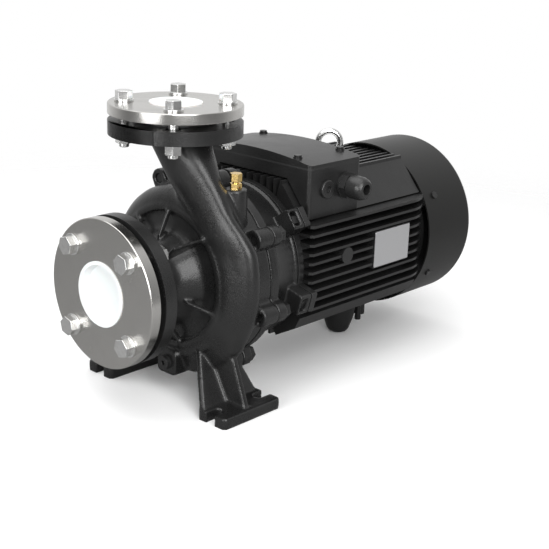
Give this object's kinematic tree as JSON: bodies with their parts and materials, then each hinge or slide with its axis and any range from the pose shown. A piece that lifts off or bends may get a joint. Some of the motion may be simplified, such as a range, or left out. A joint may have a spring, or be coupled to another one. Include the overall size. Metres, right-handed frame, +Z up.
{
  "type": "centrifugal pump",
  "caption": "Close-coupled end-suction centrifugal pump: volute casing on feet, flanged suction and discharge, and a finned motor with its terminal box and fan cover.",
  "frame": {"origin": "on the floor, midway between the four foot slots of the casing", "axes": "+X along the shaft from the suction flange to the motor, +Z up, +Y to the left seen from the suction flange looking along +X"},
  "size_m": [0.62, 0.2707, 0.391],
  "materials": {
    "cast_black": "semi-gloss black paint over a rough casting",
    "cover_black": "matt black paint on pressed sheet",
    "cast_grey": "bare grey cast iron",
    "bright_steel": "turned steel with a satin face",
    "zinc_steel": "bright zinc plated",
    "black_steel": "painted black with the pump",
    "shaft_steel": "ground steel",
    "core_steel": "laminated sheet",
    "copper": "varnished copper winding",
    "brass": "bare brass",
    "bronze": "turned bronze",
    "gasket": "black rubber",
    "seal_ceramic": "lapped seal ring",
    "white_plastic": "white polythene",
    "black_plastic": "moulded black plastic",
    "plate_silver": "bare satin plate"
  },
  "bodies": {
    "frame": {"casing": "cast_black", "suction_gasket": "gasket", "suction_counter_flange": "bright_steel", "suction_washers": "zinc_steel", "suction_bolts": "zinc_steel", "suction_nuts": "zinc_steel", "discharge_gasket": "gasket", "discharge_counter_flange": "bright_steel", "discharge_washers": "zinc_steel", "discharge_bolts": "zinc_steel", "discharge_nuts": "zinc_steel", "vent_body": "brass", "drain_washer": "gasket", "drain_plug": "zinc_steel", "casing_cover": "cast_grey", "casing_gasket": "gasket", "wear_ring": "bronze", "seal_seat": "seal_ceramic", "motor_bracket": "cast_black", "casing_bolts": "black_steel", "bracket_studs": "black_steel", "bracket_nuts": "black_steel", "front_bearing_outer": "shaft_steel", "rear_bearing_outer": "shaft_steel", "stator_core": "core_steel", "stator_winding": "copper", "motor_housing": "cast_black", "front_end_shield": "cast_black", "rear_end_shield": "cast_black", "fan_cover": "cover_black", "fan_cover_screws": "black_steel", "support_leg": "black_plastic", "eye_bolt": "zinc_steel", "nameplate": "plate_silver", "terminal_box_base": "cast_black", "terminal_box_gasket": "gasket", "terminal_box_cover": "cast_black", "terminal_box_screws": "black_steel", "terminal_board": "black_plastic", "cable_gland_body": "black_plastic", "cable_gland_seal": "gasket", "cable_gland_nut": "black_plastic", "blanking_plug": "black_plastic"},
    "rotor": {"shaft": "shaft_steel", "impeller": "cast_grey", "impeller_key": "shaft_steel", "impeller_washer": "shaft_steel", "impeller_nut": "shaft_steel", "seal_head": "seal_ceramic", "seal_bellows": "gasket", "slinger": "gasket", "front_bearing_inner": "shaft_steel", "rear_bearing_inner": "shaft_steel", "rotor_core": "core_steel", "fan": "black_plastic"},
    "ball_sets": {"bearing_balls": "shaft_steel"},
    "vent_screw": {"vent_knob": "brass"},
    "suction_cap": {"suction_plug": "white_plastic"},
    "discharge_cap": {"discharge_plug": "white_plastic"}
  },
  "joints": [
    {"name": "rotor_spin", "type": "hinge", "parent": "frame", "child": "rotor", "pos_m": [0, 0, 0.16], "axis": [1, 0, 0], "continuous": true},
    {"name": "ball_orbit", "type": "hinge", "parent": "frame", "child": "ball_sets", "pos_m": [0.117, 0, 0.16], "axis": [1, 0, 0], "continuous": true},
    {"name": "vent_turn", "type": "hinge", "parent": "frame", "child": "vent_screw", "pos_m": [0.014, -0.078, 0.29], "axis": [0, 0, 1], "range_deg": [0, 360]},
    {"name": "suction_cap_pull", "type": "slide", "parent": "frame", "child": "suction_cap", "axis": [-1, 0, 0], "range_m": [0, 0.06]},
    {"name": "discharge_cap_pull", "type": "slide", "parent": "frame", "child": "discharge_cap", "axis": [0, 0, 1], "range_m": [0, 0.06]}
  ],
  "couplings": [
    {"joint": "ball_orbit", "follows": "rotor_spin", "ratio": 0.4}
  ]
}
